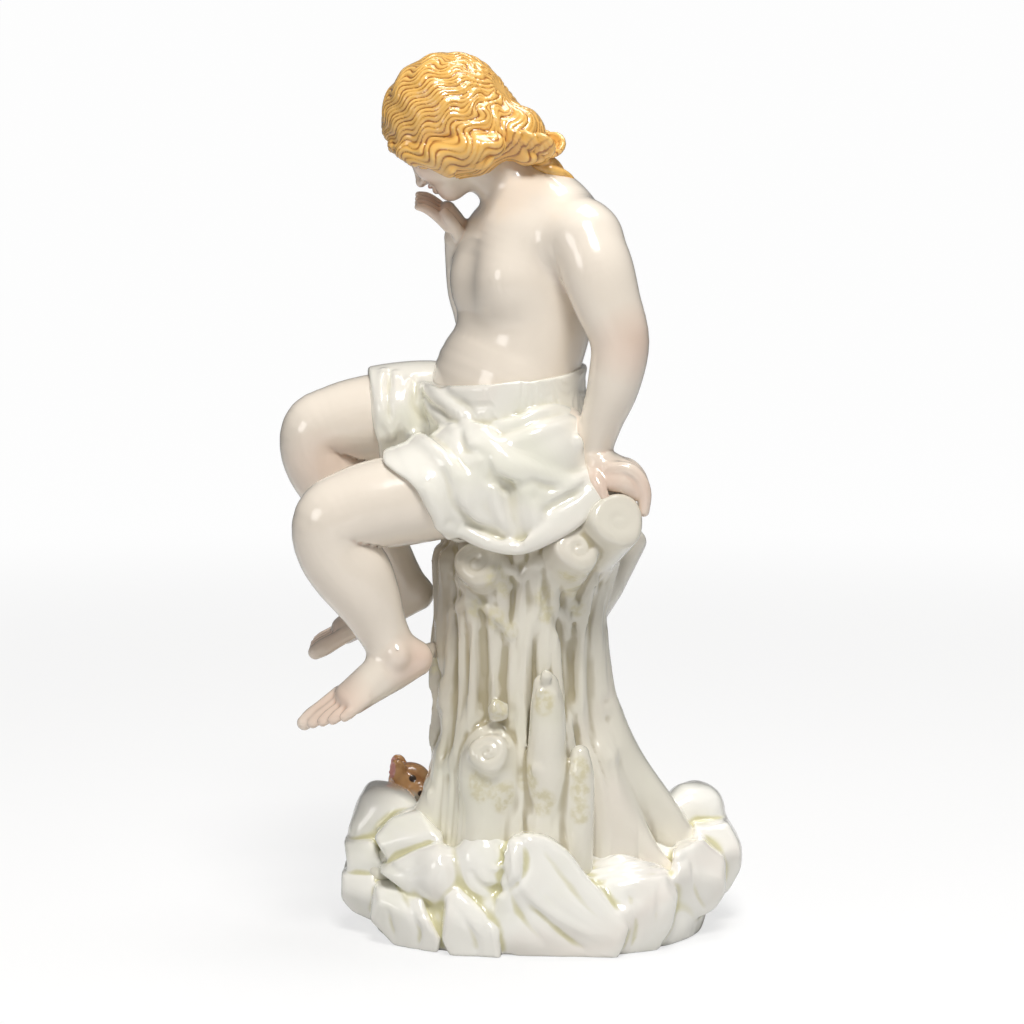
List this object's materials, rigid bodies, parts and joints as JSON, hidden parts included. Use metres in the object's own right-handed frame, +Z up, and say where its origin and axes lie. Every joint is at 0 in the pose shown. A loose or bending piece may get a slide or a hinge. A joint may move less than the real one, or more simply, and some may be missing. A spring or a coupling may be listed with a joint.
{
  "type": "porcelain figurine",
  "caption": "Glazed porcelain figurine of a seated maiden on a tree stump above a ring of rocks, slip-cast in one piece with an open foot.",
  "frame": {"origin": "centre of the bounding box on the plane the foot rests on", "axes": "+Z up, -X the way the maiden faces, -Y the side of the propped arm, which the picture shows"},
  "size_m": [0.1689, 0.1109, 0.3165],
  "materials": {
    "skin_glaze": "cream glaze, high gloss",
    "hair_glaze": "golden yellow painted glaze with brown lines, high gloss",
    "pearl_glaze": "ivory glaze with a pearl lustre, high gloss",
    "animal_glaze": "orange-brown painted glaze, high gloss"
  },
  "bodies": {
    "root": {"figurine": "pearl_glaze"}
  },
  "joints": []
}
